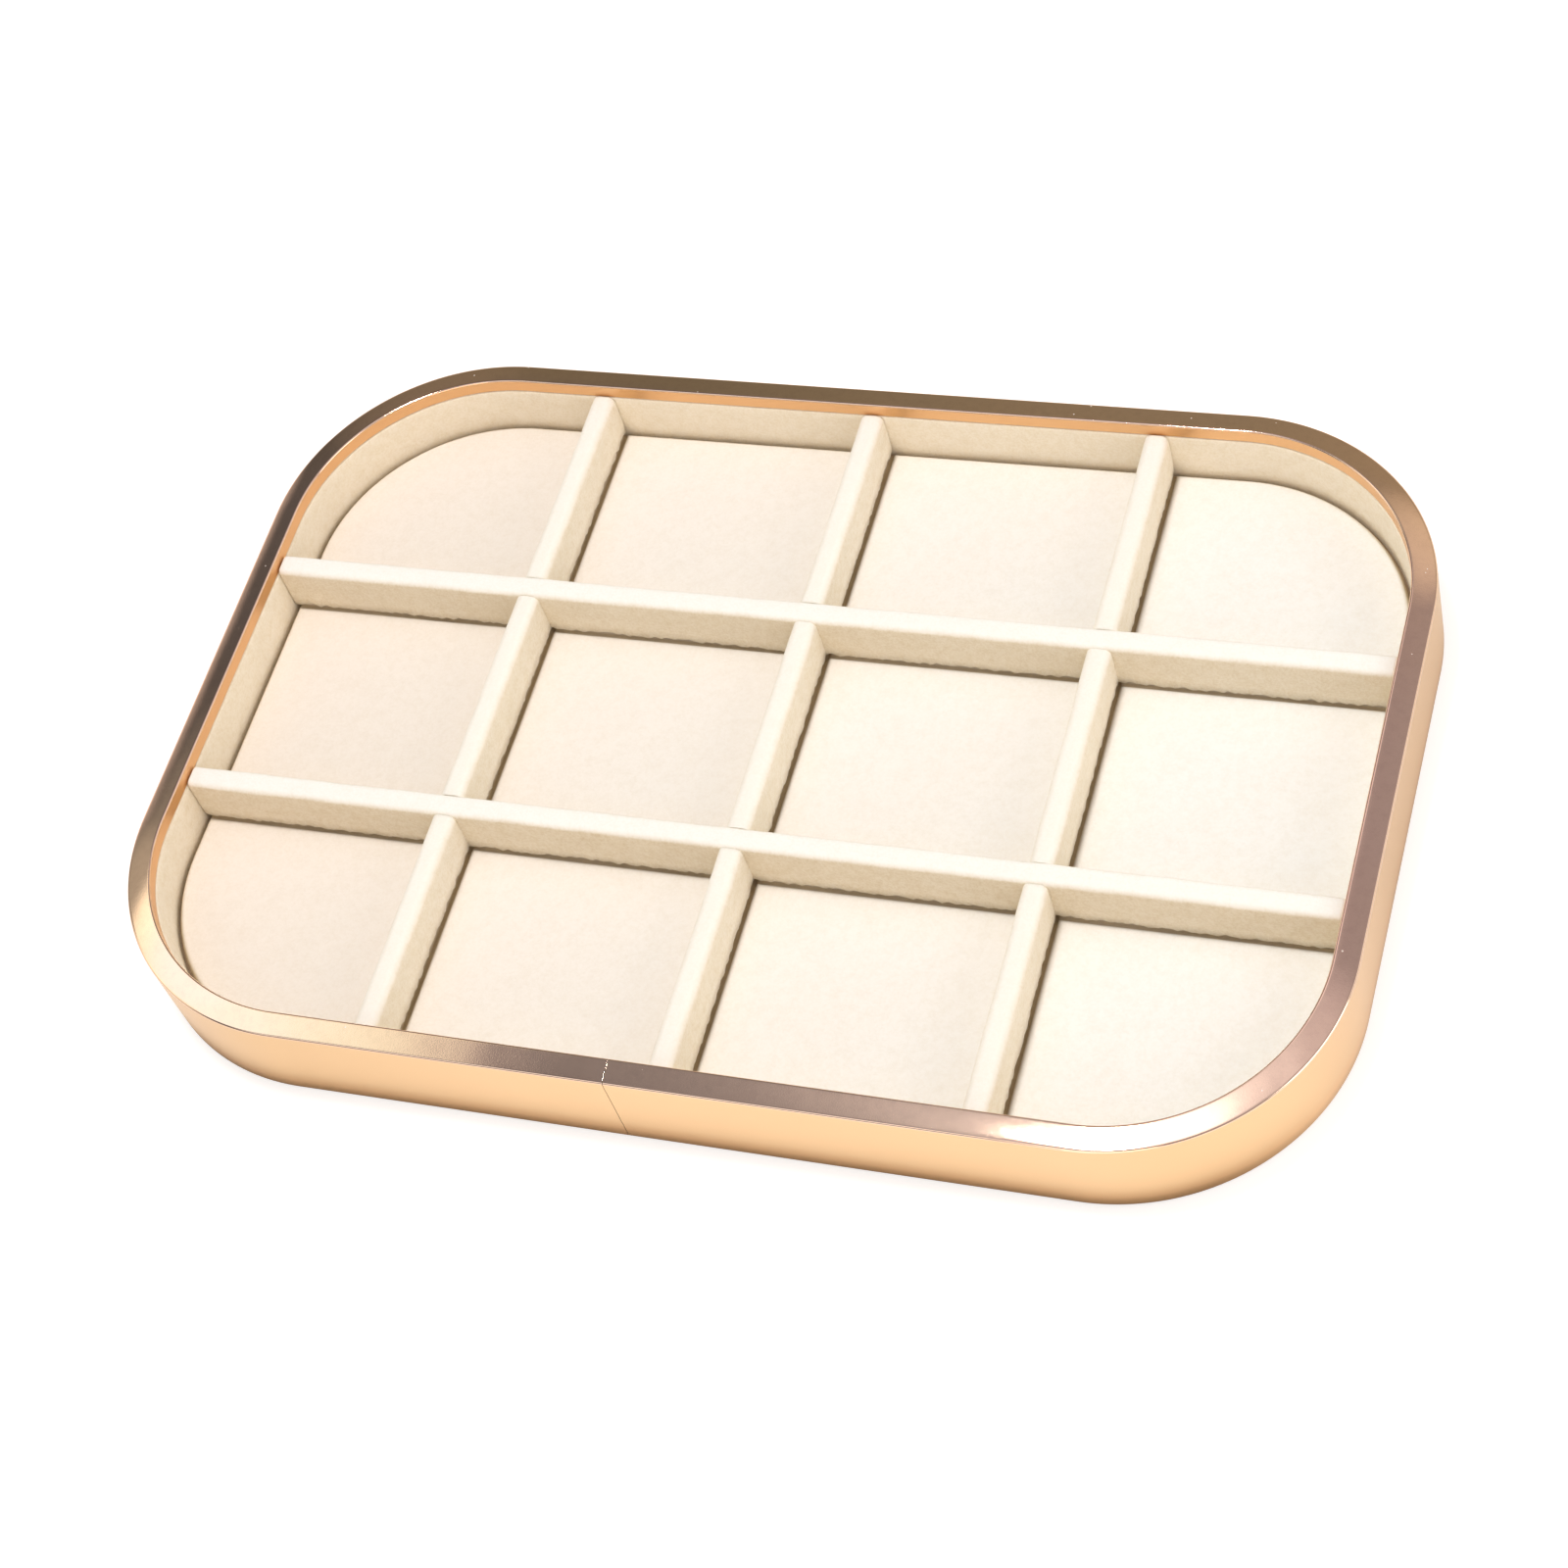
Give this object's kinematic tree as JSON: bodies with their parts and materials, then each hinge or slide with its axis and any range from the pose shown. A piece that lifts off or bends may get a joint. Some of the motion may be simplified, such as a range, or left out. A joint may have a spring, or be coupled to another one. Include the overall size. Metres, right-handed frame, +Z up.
{
  "type": "jewelry tray",
  "caption": "Low rectangular jewelry tray with large rounded corners: a polished metal frame, a cloth-lined inside and a crossed grid of padded dividers over a padded floor.",
  "frame": {"origin": "middle of the tray's footprint on the plane that it stands on", "axes": "+X along the tray's length, to the right of someone facing its seam, +Y to the back, away from the seam, +Z up"},
  "size_m": [0.35, 0.2384, 0.0309],
  "materials": {
    "frame_metal": "rose gold plated, mirror polished on the rim and lip, softer on the outer wall",
    "splice_metal": "plain mill finish",
    "screw_steel": "zinc plated",
    "fibreboard": "raw fibreboard",
    "greyboard": "pressed paper board",
    "soft_foam": "open cell foam",
    "cream_suede_cloth": "short-napped suede cloth",
    "underside_cloth": "flat felt"
  },
  "bodies": {
    "tray": {"frame_band": "frame_metal", "frame_splice": "splice_metal", "splice_screws": "screw_steel", "base_board": "fibreboard", "underside_sheet": "underside_cloth", "liner_board": "greyboard", "liner_cloth": "cream_suede_cloth", "floor_card": "greyboard", "floor_foam": "soft_foam", "floor_cloth": "cream_suede_cloth"},
    "divider_grid": {"cross_divider_left_board": "fibreboard", "cross_divider_left_wrap": "cream_suede_cloth", "cross_divider_middle_board": "fibreboard", "cross_divider_middle_wrap": "cream_suede_cloth", "cross_divider_right_board": "fibreboard", "cross_divider_right_wrap": "cream_suede_cloth"},
    "long_divider_rear": {"long_divider_rear_board": "fibreboard", "long_divider_rear_wrap": "cream_suede_cloth"},
    "long_divider_front": {"long_divider_front_board": "fibreboard", "long_divider_front_wrap": "cream_suede_cloth"}
  },
  "joints": [
    {"name": "grid_lift", "type": "slide", "parent": "tray", "child": "divider_grid", "axis": [0, 0, 1], "range_m": [0, 0.02]},
    {"name": "rear_divider_lift", "type": "slide", "parent": "divider_grid", "child": "long_divider_rear", "axis": [0, 0, 1], "range_m": [0, 0.016]},
    {"name": "front_divider_lift", "type": "slide", "parent": "divider_grid", "child": "long_divider_front", "axis": [0, 0, 1], "range_m": [0, 0.016]}
  ]
}
